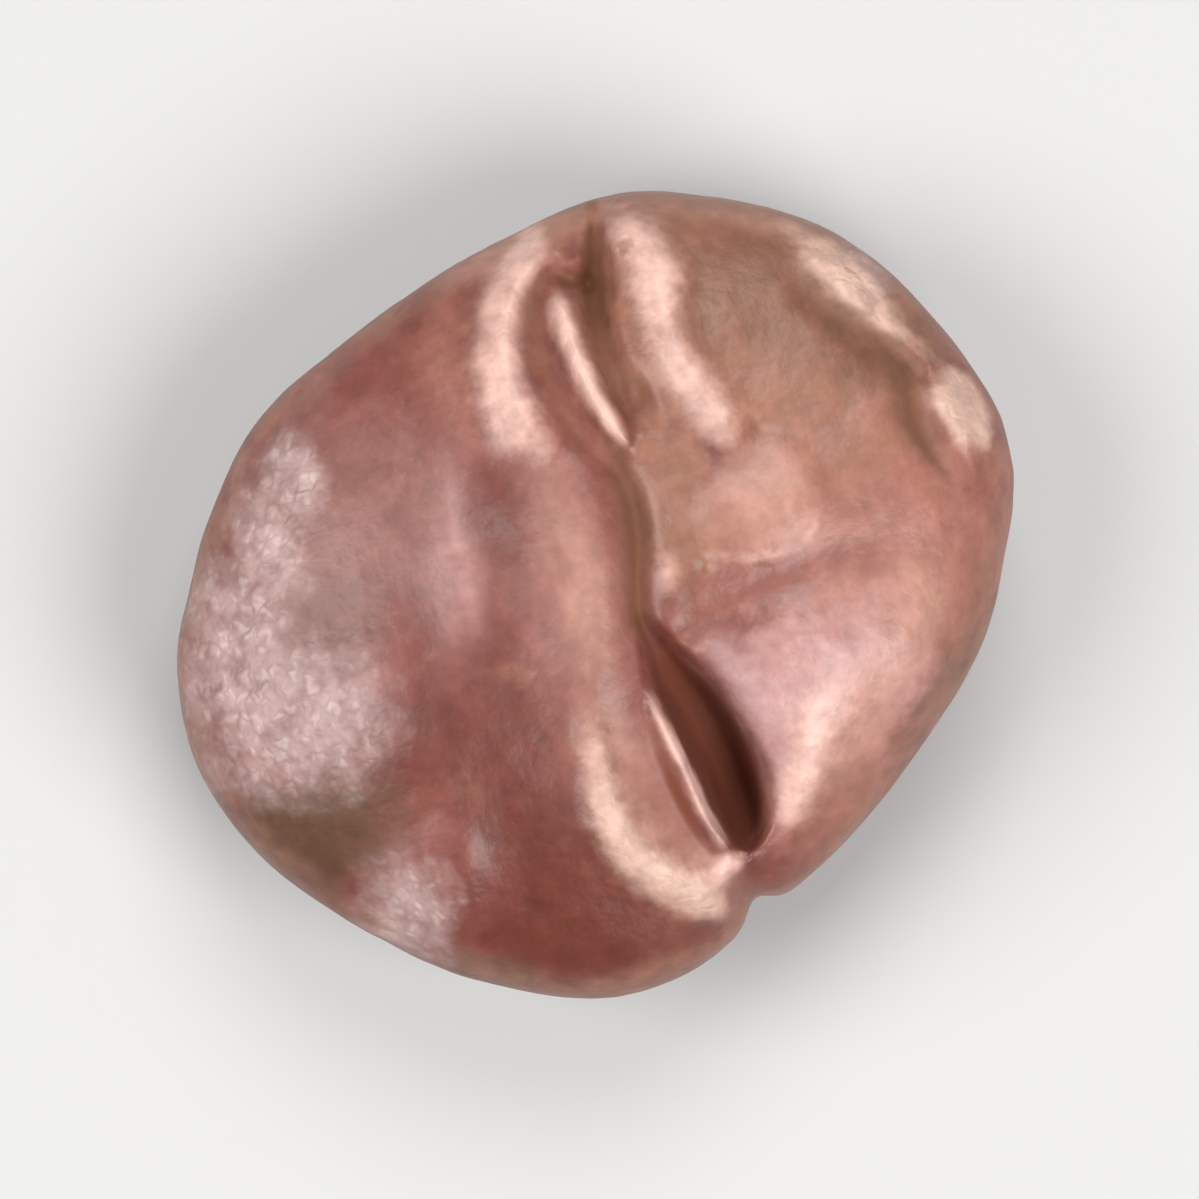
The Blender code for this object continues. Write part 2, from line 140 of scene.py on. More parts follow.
OPEN_CREASE = (3.4, (
    (0.34, -0.28, -0.05, 0.07), (0.39, -0.50, -0.26, 0.13), (0.46, -0.78, -0.50, 0.20),
    (0.57, -1.05, -0.70, 0.25), (0.66, -1.35, -0.84, 0.28), (0.73, -1.65, -0.92, 0.28),
    (0.77, -1.95, -0.88, 0.26), (0.79, -2.20, -0.68, 0.21), (0.77, -2.36, -0.42, 0.15),
    (0.73, -2.48, -0.08, 0.08)))
CREASE_SLOPE = (2.2, (
    (0.66, -0.50, -0.03, 0.14), (0.80, -0.90, -0.07, 0.20), (0.92, -1.25, -0.09, 0.22),
    (0.99, -1.60, -0.09, 0.22), (1.01, -1.95, -0.08, 0.20), (0.96, -2.25, -0.05, 0.17),
    (0.88, -2.45, -0.02, 0.10)))
FIN = (2.0, (
    (0.24, -0.84, 0.02, 0.05), (0.27, -1.05, 0.13, 0.07), (0.33, -1.30, 0.19, 0.075),
    (0.40, -1.55, 0.21, 0.075), (0.455, -1.80, 0.21, 0.075), (0.505, -2.02, 0.20, 0.08),
    (0.55, -2.22, 0.17, 0.08), (0.585, -2.37, 0.12, 0.08), (0.62, -2.47, 0.03, 0.07)))
INNER_LINE = (2.0, (
    (0.17, -1.15, -0.005, 0.06), (0.23, -1.50, -0.02, 0.07), (0.29, -1.80, -0.03, 0.07),
    (0.35, -2.05, -0.03, 0.07), (0.42, -2.30, -0.02, 0.06), (0.47, -2.46, -0.005, 0.04)))
INNER_STRIP = (2.4, (
    (-0.06, -1.05, -0.01, 0.16), (-0.03, -1.40, -0.03, 0.19), (0.02, -1.75, -0.04, 0.19),
    (0.12, -2.08, -0.05, 0.17), (0.26, -2.36, -0.04, 0.13), (0.42, -2.60, -0.03, 0.09)))
HILUM_RIM = (2.2, (
    (-0.32, -0.88, 0.01, 0.14), (-0.36, -1.14, 0.06, 0.17), (-0.34, -1.42, 0.09, 0.18),
    (-0.35, -1.72, 0.12, 0.20), (-0.34, -2.00, 0.13, 0.21), (-0.24, -2.26, 0.13, 0.22),
    (-0.07, -2.49, 0.14, 0.23), (0.12, -2.66, 0.15, 0.23), (0.29, -2.81, 0.15, 0.21),
    (0.39, -2.95, 0.11, 0.18), (0.43, -3.09, 0.02, 0.12)))
HILUM_SPUR = (2.0, (
    (0.79, -2.52, 0.01, 0.07), (0.69, -2.55, 0.05, 0.10), (0.55, -2.60, 0.06, 0.12),
    (0.42, -2.71, 0.05, 0.13), (0.32, -2.82, 0.01, 0.12)))
# Right lip of the crease: its pale worn mark is a painted highlight
CREASE_LIP = (2.0, (
    (2.00, -1.05, 0.01, 0.28), (1.76, -1.42, 0.05, 0.28), (1.58, -1.66, 0.06, 0.26),
    (1.43, -1.90, 0.07, 0.23), (1.31, -2.15, 0.06, 0.20), (1.18, -2.38, 0.02, 0.14)))
LOBE_ARC = (2.0, (
    (1.10, -0.62, 0.01, 0.16), (1.45, -0.62, 0.05, 0.18), (1.75, -0.72, 0.05, 0.16),
    (1.98, -0.92, 0.01, 0.14)))
LOBE_HOLLOW = (2.0, (
    (0.70, -0.36, -0.03, 0.17), (1.10, -0.30, -0.05, 0.21), (1.60, -0.20, -0.05, 0.24),
    (2.20, -0.14, -0.03, 0.28), (2.90, -0.10, -0.01, 0.30)))
SEAM_CURL = (2.0, (
    (0.86, 0.24, 0.008, 0.11), (0.72, 0.22, 0.022, 0.12), (0.64, 0.08, 0.030, 0.11),
    (0.62, -0.06, 0.028, 0.11), (0.64, -0.20, 0.008, 0.09)))
FLAP_EDGE = (2.0, (
    (0.88, 0.21, 0.004, 0.06), (1.15, 0.13, 0.014, 0.065), (1.48, 0.04, 0.016, 0.065),
    (1.80, 0.05, 0.014, 0.07), (2.02, 0.22, 0.010, 0.07), (2.12, 0.50, 0.003, 0.07)))
FLAP = (6.0, (
    (1.38, 1.22, 0.000, 0.24), (1.45, 1.02, 0.026, 0.37), (1.53, 0.80, 0.050, 0.50),
    (1.57, 0.62, 0.060, 0.57)))
# The hem along the upper right rim: its cream mark is partly a painted highlight
HEM = (2.4, (
    (2.22, 3.02, 0.01, 0.11), (2.48, 2.78, 0.05, 0.16), (2.70, 2.49, 0.08, 0.20), (2.88, 2.20, 0.08, 0.20),
    (3.05, 1.95, 0.06, 0.16), (3.22, 1.70, 0.045, 0.11), (3.36, 1.50, 0.03, 0.08),
    (3.44, 1.36, 0.01, 0.07)))
HEM_GROOVE = (2.0, (
    (2.30, 2.50, -0.01, 0.14), (2.48, 2.15, -0.05, 0.14), (2.75, 1.88, -0.07, 0.14),
    (3.02, 1.62, -0.08, 0.13), (3.20, 1.38, -0.07, 0.10)))
RIM_FLAKE = (4.0, (
    (3.44, 1.36, 0.02, 0.14), (3.51, 1.16, 0.08, 0.22), (3.57, 0.94, 0.09, 0.23), (3.62, 0.70, 0.08, 0.19),
    (3.63, 0.50, 0.02, 0.14)))
FLAKE_CREASE = (2.0, (
    (3.15, 1.42, -0.01, 0.09), (3.12, 1.22, -0.05, 0.09), (3.10, 1.02, -0.06, 0.09),
    (3.13, 0.80, -0.06, 0.08), (3.19, 0.60, -0.06, 0.07), (3.28, 0.44, -0.01, 0.06)))
LEFT_TERRACE = (2.0, (
    (-1.02, 1.55, 0.005, 0.20), (-1.10, 1.25, 0.03, 0.21), (-1.16, 0.85, 0.045, 0.22),
    (-1.20, 0.40, 0.05, 0.22), (-1.26, 0.10, 0.03, 0.22), (-1.32, -0.25, 0.005, 0.22)))
LOWER_TERRACE = (3.0, (
    (-1.95, -1.55, 0.01, 0.28), (-1.85, -1.95, 0.06, 0.30), (-1.92, -2.30, 0.07, 0.27),
    (-2.00, -2.62, 0.06, 0.24), (-2.05, -2.90, 0.01, 0.20)))
FOLDS = (
    LEFT_SHOULDER, RIGHT_SHOULDER, LEFT_GROOVE, RIGHT_GROOVE, TOP_NOTCH, SIDE_GROOVE, KEEL, SEAM,
    SEAM_VALLEY, LEFT_LIP, OPEN_CREASE, CREASE_SLOPE, FIN, INNER_LINE, INNER_STRIP, HILUM_RIM, HILUM_SPUR,
    CREASE_LIP, LOBE_ARC, LOBE_HOLLOW, SEAM_CURL, FLAP_EDGE, FLAP, HEM, HEM_GROOVE, RIM_FLAKE, FLAKE_CREASE,
    LEFT_TERRACE, LOWER_TERRACE)

# Folds whose crests are rubbed pale, their pale also a painted highlight; folds that are dry and creamy, on
# the hem partly a painted highlight; the crease with its dark red floor, darkened further as painted shade;
# and grooves with brown floors, each with its strength
WORN_AND_HIGHLIGHT_FOLDS = (
    (LEFT_SHOULDER, 1.0), (RIGHT_SHOULDER, 0.97), (KEEL, 1.0), (FIN, 1.0), (HILUM_SPUR, 0.95),
    (CREASE_LIP, 0.95), (SEAM_CURL, 0.5), (FLAP_EDGE, 0.42))
CREAM_AND_HIGHLIGHT_FOLDS = ((HILUM_RIM, 0.95), (RIM_FLAKE, 1.0), (HEM, 0.95))
RED_AND_SHADE_FOLDS = ((OPEN_CREASE, 1.0), (CREASE_SLOPE, 0.12), (INNER_LINE, 0.45))
BROWN_FOLDS = (
    (LEFT_GROOVE, 0.50), (RIGHT_GROOVE, 1.0), (TOP_NOTCH, 0.9), (SIDE_GROOVE, 0.5), (SEAM, 0.80),
    (INNER_STRIP, 0.28), (FLAKE_CREASE, 0.50), (HEM_GROOVE, 0.25))

# Wide swellings and dents of the upper face in millimetres: x, y, radius across, radius along, height
SWELLINGS = (
    (-1.90, -0.20, 1.30, 1.70, 0.14),
    (1.75, -1.05, 0.95, 0.60, 0.13),
    (2.60, -0.90, 0.60, 0.60, 0.05),
    (2.10, 1.50, 0.90, 0.90, -0.06),
    (0.40, 0.40, 0.70, 3.00, -0.08),
    (-0.74, 1.06, 0.30, 0.30, -0.04),
    (0.80, -0.40, 0.20, 0.14, -0.04),
    (0.97, 0.10, 0.08, 0.07, 0.04),
    (0.50, 3.02, 0.07, 0.09, 0.10),
    (0.66, 1.76, 0.06, 0.12, 0.03),
    (1.72, 1.18, 0.10, 0.12, -0.03),
    (-1.25, -2.10, 0.30, 0.70, -0.04),
    (-2.50, 0.35, 0.50, 0.35, -0.05),
    (-1.30, 3.00, 0.12, 0.08, 0.04),
    (-2.25, 2.18, 0.12, 0.12, 0.03),
)

# Relief of the lower face: a blunt point at the end away from the hilum, and shallow dents
BELLY_SWELLINGS = (
    (0.45, 3.00, 0.28, 0.24, 0.10),
    (-1.90, 1.30, 0.80, 1.00, -0.10),
    (2.20, -0.70, 0.80, 0.90, -0.08),
    (0.30, -2.60, 0.30, 0.60, -0.08),
)

# Steps between two points of a fold's route, and how many half widths from its line a fold still reaches
STEPS_PER_SPAN = 6
FOLD_REACH = 3

# Fine relief of the coat: waves per millimetre across and along, and height in millimetres
WRINKLES = ((3.2, 1.4, 0.007), (1.1, 1.3, 0.032), (7.5, 6.0, 0.0025))
# Height in millimetres by which the fine relief has come in, so that the flat spot stays flat
WRINKLE_RISE = 0.15

# Strokes of colour on the coat, some of them painted highlights and painted shade: sharpness, then points of
# x, y, strength and half width in millimetres
# Brown band inside the hem, darkened further as the hem's painted shadow
BROWN_HEM_SHADE = (2.0, (
    (1.80, 2.80, 0.20, 0.30), (2.15, 2.42, 0.60, 0.40), (2.42, 2.05, 0.85, 0.42), (2.72, 1.75, 1.00, 0.38),
    (3.00, 1.50, 1.00, 0.31), (3.12, 1.26, 1.00, 0.21), (3.10, 1.02, 0.85, 0.17), (3.14, 0.76, 0.80, 0.14),
    (3.24, 0.50, 0.50, 0.12)))
# Brown under the end of the hem, partly its painted shadow
RIM_BROWN_SHADE = (2.0, (
    (3.14, 2.14, 0.50, 0.14), (3.32, 1.78, 0.95, 0.18), (3.44, 1.48, 0.90, 0.15)))
# Painted shade along the lower right rim, in the bark colour
RIM_SHADE = (2.0, (
    (3.62, -0.30, 0.10, 0.14), (3.42, -0.80, 0.60, 0.20), (3.06, -1.32, 0.75, 0.22),
    (2.68, -1.74, 0.60, 0.18), (2.25, -2.12, 0.30, 0.12)))
# Pale pink ridge on the left, partly a painted highlight along its crest
PALE_RIDGE = (2.0, (
    (-1.05, 1.50, 0.20, 0.20), (-1.14, 1.05, 0.45, 0.21), (-1.20, 0.55, 0.75, 0.23),
    (-1.24, 0.20, 0.60, 0.23), (-1.34, -0.20, 0.15, 0.20)))
# Pale edge along the top of the outline, partly a painted highlight
TOP_EDGE = (2.0, (
    (-0.75, 3.12, 0.40, 0.12), (-0.20, 3.24, 0.95, 0.16), (0.20, 3.31, 1.00, 0.15),
    (0.70, 3.40, 0.60, 0.10), (1.40, 3.34, 0.50, 0.10), (2.00, 3.10, 0.55, 0.11), (2.45, 2.84, 0.50, 0.12)))
HILUM_SKIN = (2.2, (
    (-0.26, -0.80, 0.30, 0.22), (-0.24, -1.20, 0.65, 0.30), (-0.16, -1.65, 0.70, 0.34),
    (-0.10, -2.05, 0.60, 0.34), (0.06, -2.40, 0.65, 0.32), (0.35, -2.72, 0.75, 0.28),
    (0.55, -2.92, 0.35, 0.18)))
# Lilac side of the lower lobe by the crease, partly a painted highlight
LOBE_SIDE = (2.0, (
    (0.95, -0.70, 0.50, 0.16), (1.14, -1.10, 0.70, 0.18), (1.26, -1.50, 0.80, 0.17),
    (1.30, -1.90, 0.80, 0.16), (1.22, -2.20, 0.50, 0.14)))
# Painted highlight on the lower right lobe near the rim, in the blush colour
RIM_PAINTED_HIGHLIGHT = (2.0, (
    (2.30, -0.42, 0.30, 0.30), (2.75, -0.62, 1.00, 0.30), (2.62, -1.00, 0.60, 0.26),
    (2.20, -1.42, 0.80, 0.26), (1.95, -1.72, 0.80, 0.24), (1.75, -2.00, 0.50, 0.20)))
SEAM_SIDE = (2.0, (
    (-0.20, 1.25, 0.40, 0.22), (-0.14, 0.90, 0.50, 0.24), (-0.12, 0.50, 0.60, 0.26),
    (-0.10, 0.05, 0.85, 0.26), (-0.14, -0.40, 0.60, 0.24), (-0.20, -0.80, 0.35, 0.20)))
SEAM_BROWN = (2.0, (
    (0.42, 1.25, 0.70, 0.13), (0.44, 0.88, 0.95, 0.15), (0.455, 0.60, 1.00, 0.15), (0.41, 0.34, 0.95, 0.14),
    (0.35, 0.05, 0.70, 0.12), (0.31, -0.22, 0.70, 0.11)))
FLAP_FACE = (6.0, (
    (1.47, 1.05, 0.00, 0.32), (1.55, 0.86, 0.55, 0.42), (1.58, 0.62, 0.78, 0.53)))
SHOULDER_SIDE = (2.0, (
    (-0.60, 3.05, 0.30, 0.22), (-0.80, 2.70, 0.60, 0.28), (-0.88, 2.30, 0.60, 0.28),
    (-0.86, 1.95, 0.50, 0.24), (-0.80, 1.60, 0.20, 0.20)))
STROKES = (
    ("bark", BROWN_HEM_SHADE), ("bark", RIM_BROWN_SHADE), ("bark", RIM_SHADE), ("bark", SEAM_BROWN),
    ("pink", PALE_RIDGE), ("blush", TOP_EDGE), ("blush", HILUM_SKIN), ("blush", SEAM_SIDE),
    ("blush", FLAP_FACE), ("blush", RIM_PAINTED_HIGHLIGHT), ("lilac", LOBE_SIDE), ("rosy", SHOULDER_SIDE))
STROKE_COLOURS = sorted({colour for colour, _route in STROKES})

# Patches of the coat in millimetres: colour, middle, radii, strength and softness of the edge
PATCHES = (
    ("tan", (1.9, 2.3), (1.6, 1.3), 0.90, 0.40),
    ("bark", (2.15, 2.40), (1.10, 0.65), 0.55, 0.45),
    ("rosy", (2.5, 0.0), (1.4, 1.3), 0.80, 0.40),
    ("tan", (2.50, 1.28), (0.90, 0.75), 0.65, 0.45),
    ("tan", (0.85, 0.60), (0.40, 0.90), 0.80, 0.40),
    ("coat", (1.55, -0.20), (1.10, 0.24), 0.70, 0.50),
    # The palest part of the lower lobe, partly a painted highlight
    ("pink", (1.85, -1.15), (0.95, 0.72), 0.80, 0.35),
    ("rosy", (1.60, -2.05), (0.80, 0.55), 0.60, 0.45),
    ("deep", (-0.95, -2.55), (0.75, 1.20), 0.90, 0.40),
    ("deep", (-1.85, -0.85), (0.90, 0.50), 0.85, 0.50),
    ("deep", (-1.00, -1.45), (0.50, 0.80), 0.60, 0.50),
    ("mauve", (-0.36, 0.15), (0.40, 1.10), 0.70, 0.45),
    ("deep", (-0.78, 0.92), (0.30, 0.46), 0.80, 0.40),
    ("coat", (-1.60, 2.35), (0.95, 0.60), 0.50, 0.45),
    ("ash", (-2.05, 1.20), (0.80, 1.05), 0.70, 0.40),
    ("umber", (-2.45, 0.28), (0.66, 0.46), 0.85, 0.45),
    ("ash", (-2.32, -2.20), (0.42, 0.66), 0.60, 0.25),
    ("olive", (-3.00, -1.45), (0.80, 0.50), 0.85, 0.55),
    ("olive", (-1.75, -3.10), (0.45, 0.20), 0.50, 0.40),
)
# Patches of the greyish film, which partly paints a sheen: middle, radii and strength
FILM_AND_SHEEN_PATCHES = (
    ((-2.92, -0.47), (0.80, 0.58), 0.95),
    ((-3.38, 0.00), (0.46, 0.60), 0.90),
    ((-3.24, 0.54), (0.42, 0.50), 0.95),
    ((-2.82, 1.08), (0.30, 0.50), 0.90),
    ((-2.45, 1.66), (0.26, 0.36), 0.90),
    ((-2.30, -2.36), (0.42, 0.52), 0.72),
    ((2.95, 2.38), (0.30, 0.36), 0.70),
)
# How much shallower a patch of film gets when its strength is none
FILM_FADE = 1.2
# Height in millimetres on the coat that each patch is centred at, and its reach up and down
PATCH_HEIGHT = 2.4
PATCH_REACH = 1.8
# How far the edges of patches and film are torn, as a share of their radii
TEAR_REACH = 1.4
# Height above the rim in millimetres by which the coat of the seamed face has come in
TOP_RISE = 0.3

# Mottling of the coat: waves per millimetre, detail, roughness and distortion
WIDE_NOISE = (0.6, 3, 0.5, 0.4)
MIDDLE_NOISE = (1.9, 3, 0.55, 0.3)
RAGGED_NOISE = (2.6, 3, 0.6, 0)
BLOTCH_NOISE = (4.2, 3, 0.55, 0)
SPECKLE_NOISE = (9.0, 3, 0.6, 0)
FIBRE_NOISE = (1.2, 2, 0.5, 0.3)
FIBRE_STRETCH = (3.6, 1.2, 3.6)

# Grains of the film, whose pale middles are painted glints, and dark specks: how many per millimetre, and how
# the grains' outlines are warped
GRAIN_SCALE = 7.5
GRAIN_WARP_SCALE = 9.0
GRAIN_WARP_REACH = 0.16
SPECK_SCALE = 1.1

# How much each layer hides of what lies below it
DEEP_COVER = 0.6
TAN_COVER = 0.35
RIM_COVER = 0.6
FILM_AND_SHEEN_COVER = 0.8
FROST_AND_GLINT_COVER = 0.40
WORN_AND_HIGHLIGHT_COVER = 0.94
CREAM_AND_HIGHLIGHT_COVER = 0.9
GROOVE_COVER = 0.90
HOLLOW_AND_SHADE_COVER = 0.95
SPECK_COVER = 0.4
# How far a pale crest, rubbed and painted highlight, keeps the crease's dark red and painted shade off
WORN_GUARD = 0.4

# What each layer adds to the roughness
BLOTCH_GLOSS = -0.05
BLOTCH_ROUGHNESS = 0.10
FILM_ROUGHNESS = 0.08
CREAM_ROUGHNESS = 0.10
HOLLOW_ROUGHNESS = 0.42

# Height of the bump in millimetres, how strongly grains stand out on each layer, and the other parts of it
BUMP_HEIGHT = 0.015
COAT_GRAIN = 0.12
CREAM_GRAIN = 1.1
WORN_GRAIN = 0.3
FILM_GRAIN = 0.45
FROST_BUMP = 0.35
BLOTCH_BUMP = 0.7
SPECKLE_BUMP = 0.35
FIBRE_BUMP = 0.5

# Lights: name, azimuth and elevation in degrees, distance and size in metres, and power in watts
LIGHTS = (
    ("left_light", -98, 48, 0.12, 0.080, 0.105),
    ("back_light", 160, 54, 0.13, 0.070, 0.085),
    ("right_light", 42, 50, 0.12, 0.080, 0.135),
)
WORLD_COLOUR = (1, 0.995, 0.985)
WORLD_STRENGTH = 0.20
FLOOR_REACH = 0.5


class SeedShape(PropertyGroup):
    """Sizes of the seed and fineness of its surface."""

    width: FloatProperty(
        name="Width", description="Size across the seam", unit="LENGTH", precision=5,
        default=SEED_HIGH[0] - SEED_LOW[0], min=0.001)
    length: FloatProperty(
        name="Length", description="Size along the seam", unit="LENGTH", precision=5,
        default=SEED_HIGH[1] - SEED_LOW[1], min=0.001)
    rim_height: FloatProperty(
        name="Rim Height", description="Height of the widest part above the surface", unit="LENGTH",
        precision=5, default=0.00158, min=0)
    crown_height: FloatProperty(
        name="Crown Height", description="Height of the seamed face above the rim", unit="LENGTH",
        precision=5, default=0.00136, min=0)
    belly_depth: FloatProperty(
        name="Belly Depth", description="Depth of the fuller face below the rim, before its flat spot",
        unit="LENGTH", precision=5, default=0.00166, min=0)
    columns: IntProperty(name="Columns", description="Faces across each side", default=320, min=8)
    rows: IntProperty(name="Rows", description="Faces along each side", default=280, min=8)
    triangles: IntProperty(
        name="Triangles", description="Triangles kept, once the underside is thinned out", default=194000,
        min=1000)


class SeedFinish(PropertyGroup):
    """Colours and gloss of the seed coat, among them painted highlights, painted sheen and painted shade."""

    coat: FloatVectorProperty(
        name="Coat", description="Reddish brown of most of the coat", subtype="COLOR",
        size=3, default=(0.192, 0.055, 0.042), min=0, max=1)
    deep: FloatVectorProperty(
        name="Deep", description="Darker, redder parts of the coat", subtype="COLOR",
        size=3, default=(0.112, 0.022, 0.013), min=0, max=1)
    tan: FloatVectorProperty(
        name="Tan", description="Browner, drier parts of the coat", subtype="COLOR",
        size=3, default=(0.262, 0.114, 0.068), min=0, max=1)
    # Brown of the seam's bands, also used as painted shade under the hem and along the lower right rim
    bark: FloatVectorProperty(
        name="Bark", description="Brown bands beside the seam and inside the rim", subtype="COLOR",
        size=3, default=(0.155, 0.062, 0.034), min=0, max=1)
    rosy: FloatVectorProperty(
        name="Rosy", description="Rosy brown beside the open crease", subtype="COLOR",
        size=3, default=(0.320, 0.128, 0.092), min=0, max=1)
    # Pale brown of the flap, the hilum skin and the seam's left side; also used for painted highlights on the
    # top edge and the lower right lobe
    blush: FloatVectorProperty(
        name="Blush", description="Pale brown of the flap and the low ridges", subtype="COLOR",
        size=3, default=(0.415, 0.210, 0.155), min=0, max=1)
    # Pale pink of the lower lobe and the left ridge, partly painted highlight
    pink: FloatVectorProperty(
        name="Pink", description="Palest part of the lower lobe", subtype="COLOR",
        size=3, default=(0.435, 0.228, 0.212), min=0, max=1)
    ash: FloatVectorProperty(
        name="Ash", description="Greyish parts of the coat", subtype="COLOR",
        size=3, default=(0.230, 0.104, 0.088), min=0, max=1)
    umber: FloatVectorProperty(
        name="Umber", description="Grey brown beside the film", subtype="COLOR",
        size=3, default=(0.150, 0.055, 0.042), min=0, max=1)
    olive: FloatVectorProperty(
        name="Olive", description="Greenish brown by the lower rim", subtype="COLOR",
        size=3, default=(0.085, 0.040, 0.018), min=0, max=1)
    # Pale of the rubbed crests, made paler still to stand in for their highlight: painted highlight
    worn_and_highlight: FloatVectorProperty(
        name="Worn Crests", description="Rubbed crests of the folds", subtype="COLOR",
        size=3, default=(0.640, 0.392, 0.328), min=0, max=1)
    # Cream of the dry skin; on the hem it also stands in for a highlight, as painted highlight
    cream_and_highlight: FloatVectorProperty(
        name="Cream", description="Dry skin round the hilum and on the rim", subtype="COLOR",
        size=3, default=(0.560, 0.360, 0.285), min=0, max=1)
    groove: FloatVectorProperty(
        name="Grooves", description="Floors of the seam and the grooves", subtype="COLOR",
        size=3, default=(0.125, 0.041, 0.014), min=0, max=1)
    # Dark red of the crease, made darker than its own colour over floor and walls: painted shade
    hollow_and_shade: FloatVectorProperty(
        name="Hollow", description="Floor and walls of the open crease", subtype="COLOR",
        size=3, default=(0.122, 0.023, 0.006), min=0, max=1)
    # Greyish film, partly real bloom and partly a painted sheen
    film_and_sheen: FloatVectorProperty(
        name="Film", description="Greyish film on the outer slopes", subtype="COLOR",
        size=3, default=(0.400, 0.272, 0.258), min=0, max=1)
    # Pale grains of the film: painted glints
    frost_and_glints: FloatVectorProperty(
        name="Frost", description="Grains of the film", subtype="COLOR",
        size=3, default=(0.640, 0.500, 0.470), min=0, max=1)
    mauve: FloatVectorProperty(
        name="Mauve", description="Mauve brown to the left of the seam", subtype="COLOR",
        size=3, default=(0.250, 0.100, 0.083), min=0, max=1)
    # Lilac of the lower lobe's side, partly painted highlight
    lilac: FloatVectorProperty(
        name="Lilac", description="Side of the lower lobe that faces the crease", subtype="COLOR",
        size=3, default=(0.420, 0.250, 0.245), min=0, max=1)
    roughness: FloatProperty(
        name="Roughness", description="Gloss of the smooth coat", subtype="FACTOR",
        default=0.41, min=0, max=1)


class SeedStage(PropertyGroup):
    """Floor, light and camera."""

    floor: FloatVectorProperty(
        name="Floor", description="Colour of the floor", subtype="COLOR",
        size=3, default=(0.50, 0.497, 0.49), min=0, max=1)
    light: FloatProperty(
        name="Light", description="Strength of all the lights", default=1.0, min=0)
    lens: FloatProperty(
        name="Lens", description="Focal length of the camera", unit="CAMERA", default=250, min=10)
    elevation: FloatProperty(
        name="Elevation", description="Height of the view above the horizon", subtype="ANGLE",
        default=math.radians(89.5))
    turn: FloatProperty(
        name="Turn", description="Lean of the seam to the left in the picture", subtype="ANGLE",
        default=math.radians(12.7))
    fill: FloatProperty(
        name="Fill", description="Share of the picture that the seed's width takes", subtype="FACTOR",
        default=0.72, min=0.05, max=1)


def polar_radius():
    """A function of the angle and the share of the way to the rim that gives the rim's distance there."""
    points = np.array(OUTLINE)
    angles = np.arctan2(points[:, 1], points[:, 0])
    radii = np.hypot(points[:, 0], points[:, 1])

    def waves(angle):
        terms = [np.ones_like(angle)]
        for count in range(1, OUTLINE_WAVES + 1):
            terms.append(np.cos(count * angle))
            terms.append(np.sin(count * angle))
        return np.stack(terms, axis=-1)

    weights = np.linalg.lstsq(waves(angles), radii, rcond=None)[0]

    def radius(angle, share):
        notch = np.exp(-((np.degrees(angle) - NOTCH_ANGLE) / NOTCH_HALF_WIDTH) ** 2)
        return waves(angle) @ weights - NOTCH_DEPTH * notch * share ** NOTCH_FALL

    return radius


def smooth_route(points):
    """A smooth curve through points of any number of values (Catmull-Rom)."""
    points = np.array(points)
    padded = np.vstack([2 * points[0] - points[1], points, 2 * points[-1] - points[-2]])
    route = []
    for index in range(1, len(padded) - 2):
        before, start, end, after = padded[index - 1:index + 3]
        for step in range(STEPS_PER_SPAN):
            t = step / STEPS_PER_SPAN
            route.append(0.5 * (2 * start + (end - before) * t
                                + (2 * before - 5 * start + 4 * end - after) * t ** 2
                                + (3 * start - before - 3 * end + after) * t ** 3))
    route.append(points[-1])
    return np.array(route)


def fold_height(fold, x, y):
    """Height that one fold adds at each point: its own height, fading with the distance from its route."""
    sharpness, points = fold
    route = smooth_route(points)
    reach = FOLD_REACH * route[:, 3].max()
    near = ((x > route[:, 0].min() - reach) & (x < route[:, 0].max() + reach)
            & (y > route[:, 1].min() - reach) & (y < route[:, 1].max() + reach))
    near_x = x[near]
    near_y = y[near]
    nearest = np.full(near_x.shape, np.inf)
    height = np.zeros(near_x.shape)
    width = np.ones(near_x.shape)
    for start, end in zip(route[:-1], route[1:]):
        run = end[:2] - start[:2]
        share = ((near_x - start[0]) * run[0] + (near_y - start[1]) * run[1]) / (run @ run)
        share = np.clip(share, 0, 1)
        distance = np.hypot(near_x - start[0] - share * run[0], near_y - start[1] - share * run[1])
        closer = distance < nearest
        nearest = np.where(closer, distance, nearest)
        height = np.where(closer, start[2] + share * (end[2] - start[2]), height)
        width = np.where(closer, start[3] + share * (end[3] - start[3]), width)
    total = np.zeros(x.shape)
    total[near] = height * np.exp(-(nearest / width) ** sharpness)
    return total


def fold_share(folds, x, y):
    """How far each point lies on one of the folds, from 0 to the fold's strength on its line."""
    share = np.zeros(x.shape)
    for fold, strength in folds:
        height = np.abs(fold_height(fold, x, y))
        tallest = max(abs(point[2]) for point in fold[1])
        share = np.maximum(share, strength * height / tallest)
    return np.clip(share, 0, 1)


def stroke_share(colour, x, y):
    """How strongly the strokes of one colour cover each point, from 0 to 1."""
    share = np.zeros(x.shape)
    for name, route in STROKES:
        if name == colour:
            share = np.maximum(share, fold_height(route, x, y))
    return np.clip(share, 0, 1)


def film_and_sheen_depth(x, y):
    """How far inside the film and its painted sheen each point lies: 2 in the middle of a patch, 1 on its
    edge, 0 well outside.
    """
    depth = np.zeros(x.shape)
    for (middle_x, middle_y), (across, along), strength in FILM_AND_SHEEN_PATCHES:
        reach = np.hypot((x - middle_x) / across, (y - middle_y) / along)
        depth = np.maximum(depth, 2 - reach - FILM_FADE * (1 - strength))
    return depth


def swelling_height(swellings, x, y):
    """Height that the wide swellings and dents add at each point."""
    total = np.zeros(x.shape)
    for middle_x, middle_y, across, along, height in swellings:
        total += height * np.exp(-((x - middle_x) / across) ** 2 - ((y - middle_y) / along) ** 2)
    return total


